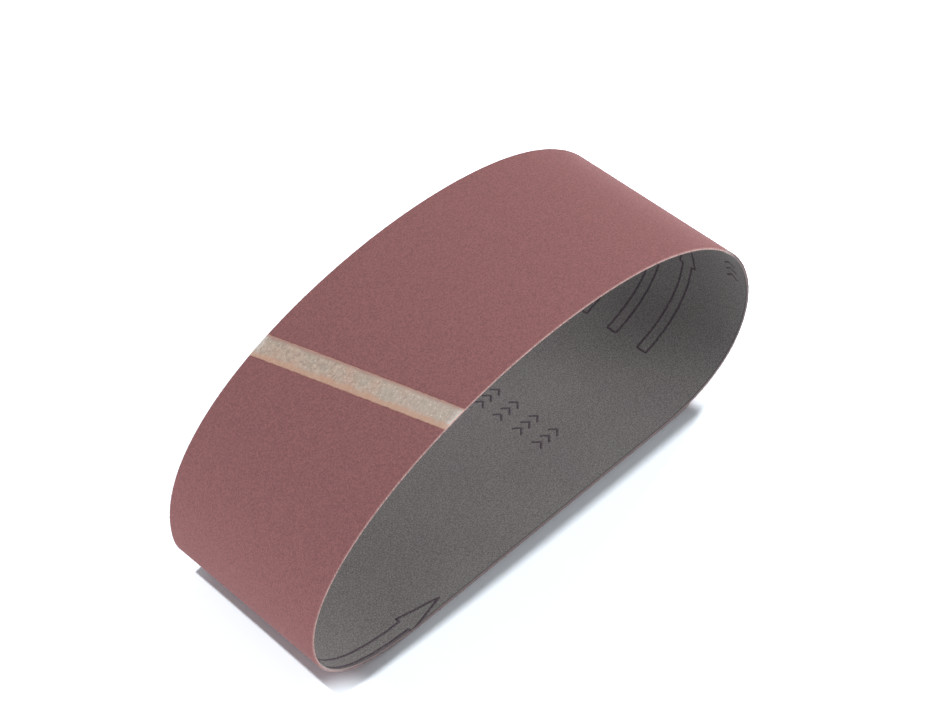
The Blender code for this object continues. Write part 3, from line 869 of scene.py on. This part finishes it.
# A low lamp at the right clears the shadow from under the front bend
UNDER_BEND_PLACE = (330 * MM, 40 * MM, 150 * MM)
UNDER_BEND_AIM = (95 * MM, 20 * MM, 0)
UNDER_BEND_LEVEL = 1.7
UNDER_BEND_SIZE = 60 * MM
# A small spot takes the point off the shadow's near corner
CORNER_PLACE = (-230 * MM, -185 * MM, 300 * MM)
CORNER_AIM = (-112 * MM, -53 * MM, 0)
CORNER_RADIUS = 20 * MM
CORNER_LEVEL = 0.9
CORNER_SOFTNESS = 0.25
CORNER_LAMP_SIZE = 4 * MM
BROAD_LAMPS = {                # name: where it stands as seen from the belt, its level and colour
    "lamp_left": ((-0.9, 0.05, 0.45), 0.42, (0.99, 0.99, 1.03)),
    "lamp_right": ((0.6, 0.6, 0.5), 0.2, (1.02, 0.98, 0.97)),
    "lamp_in_front": ((0.6, -0.8, 0.5), 0.88, (1.01, 0.98, 0.98)),
}
LAMP_DISTANCE = 1.2
LAMP_SIZE = 0.8

floor_mesh = bpy.data.meshes.new("studio_floor")
floor_mesh.from_pydata([(x * FLOOR_REACH, y * FLOOR_REACH, -FLOOR_DROP)
                        for x, y in ((-1, -1), (1, -1), (1, 1), (-1, 1))], [], [(0, 1, 2, 3)])
studio_floor = bpy.data.objects.new("studio_floor", floor_mesh)
bpy.context.scene.collection.objects.link(studio_floor)


def seen_directly(tree):
    """1 for what the camera sees, directly or in gloss or glass, and 0 for what lights things."""
    rays = add_node(tree, "ShaderNodeLightPath").outputs
    seen = rays["Is Camera Ray"]
    for ray in ("Is Glossy Ray", "Is Transmission Ray"):
        seen = add_node(tree, "ShaderNodeMath", {0: seen, 1: rays[ray]}, operation="MAXIMUM")
    return seen


floor_paper = bpy.data.materials.new("matt_white_paper")
floor_paper.use_nodes = True
paper_tree = floor_paper.node_tree
paper_tree.nodes.remove(paper_tree.nodes["Principled BSDF"])
lit = add_node(paper_tree, "ShaderNodeBsdfDiffuse", {"Color": PAPER_COLOUR})
shown = add_node(paper_tree, "ShaderNodeBsdfDiffuse", {"Color": PAPER_AS_SEEN})
paper = add_node(paper_tree, "ShaderNodeMixShader", {0: seen_directly(paper_tree), 1: lit, 2: shown})
paper_tree.links.new(paper.outputs[0], paper_tree.nodes["Material Output"].inputs["Surface"])
floor_mesh.materials.append(floor_paper)

world = bpy.data.worlds.new("even_light")
bpy.context.scene.world = world
world.use_nodes = True
world_tree = world.node_tree
strength = add_node(world_tree, "ShaderNodeMapRange",
                    {"Value": seen_directly(world_tree), "To Min": ALL_ROUND_LEVEL, "To Max": 1.0})
world_tree.links.new(strength.outputs[0], world_tree.nodes["Background"].inputs["Strength"])
world_tree.nodes["Background"].inputs["Color"].default_value = (1.0, 1.0, 1.0, 1.0)

floor_alone = bpy.data.collections.new("lit_by_backdrop_lamp")
floor_alone.objects.link(studio_floor)
all_but_floor = bpy.data.collections.new("lit_by_broad_lamps")
all_but_floor.objects.link(studio_floor)
all_but_floor.collection_objects[0].light_linking.link_state = "EXCLUDE"


def lamp(name, kind, place, aim, level, lit_things):
    """A lamp that shines from one place at another, and lights only some things."""
    data = bpy.data.lights.new(name, kind)
    made = bpy.data.objects.new(name, data)
    bpy.context.scene.collection.objects.link(made)
    back = Vector(place) - Vector(aim)
    made.location = place
    made.rotation_euler = back.to_track_quat("Z", "Y").to_euler()
    made.light_linking.receiver_collection = lit_things
    data.energy = level * {"SUN": math.pi, "AREA": (math.pi * back.length) ** 2,
                           "SPOT": (math.tau * back.length) ** 2}[kind]
    return data


backdrop_lamp = lamp("lamp_of_backdrop", "SUN", BACKDROP_LAMP_FROM, (0, 0, 0), BACKDROP_LEVEL,
                     floor_alone)
backdrop_lamp.angle = BACKDROP_LAMP_ANGLE
bend_lamp = lamp("lamp_under_bend", "AREA", UNDER_BEND_PLACE, UNDER_BEND_AIM, UNDER_BEND_LEVEL,
                 floor_alone)
bend_lamp.shape = "DISK"
bend_lamp.size = UNDER_BEND_SIZE
corner_lamp = lamp("lamp_at_corner", "SPOT", CORNER_PLACE, CORNER_AIM, CORNER_LEVEL, floor_alone)
corner_lamp.spot_size = 2 * math.atan(CORNER_RADIUS
                                      / (Vector(CORNER_PLACE) - Vector(CORNER_AIM)).length)
corner_lamp.spot_blend = CORNER_SOFTNESS
corner_lamp.shadow_soft_size = CORNER_LAMP_SIZE
for name, (direction, level, colour) in BROAD_LAMPS.items():
    broad_lamp = lamp(name, "AREA", Vector(direction).normalized() * LAMP_DISTANCE, (0, 0, 0),
                      level, all_but_floor)
    broad_lamp.shape = "DISK"
    broad_lamp.size = LAMP_SIZE
    broad_lamp.color = colour

# The camera stands in front to the left and looks down at the belt, turned a little about its
# own line of sight.
CAMERA_PLACE = Vector((-283.97, -309.02, 521.23)) * MM
CAMERA_TURNS = (-42.645, 47.562, -2.018)       # azimuth, elevation and roll, in degrees
CAMERA_LENS = 67.67
CAMERA_SENSOR = 36.0
camera_data = bpy.data.cameras.new("camera")
camera_data.sensor_width = CAMERA_SENSOR
camera_data.lens = CAMERA_LENS
camera_data.clip_start = 0.01
camera = bpy.data.objects.new("camera", camera_data)
bpy.context.scene.collection.objects.link(camera)
azimuth, elevation, roll = (math.radians(turn) for turn in CAMERA_TURNS)
backward = Vector((math.sin(azimuth) * math.cos(elevation),
                   -math.cos(azimuth) * math.cos(elevation), math.sin(elevation)))
level_right = Vector((math.cos(azimuth), math.sin(azimuth), 0.0))
level_up = backward.cross(level_right)
right = level_right * math.cos(roll) + level_up * math.sin(roll)
upward = level_up * math.cos(roll) - level_right * math.sin(roll)
camera.matrix_world = (Matrix.Translation(CAMERA_PLACE)
                       @ Matrix((right, upward, backward)).transposed().to_4x4())
bpy.context.scene.camera = camera
bpy.context.scene.view_settings.view_transform = "Standard"
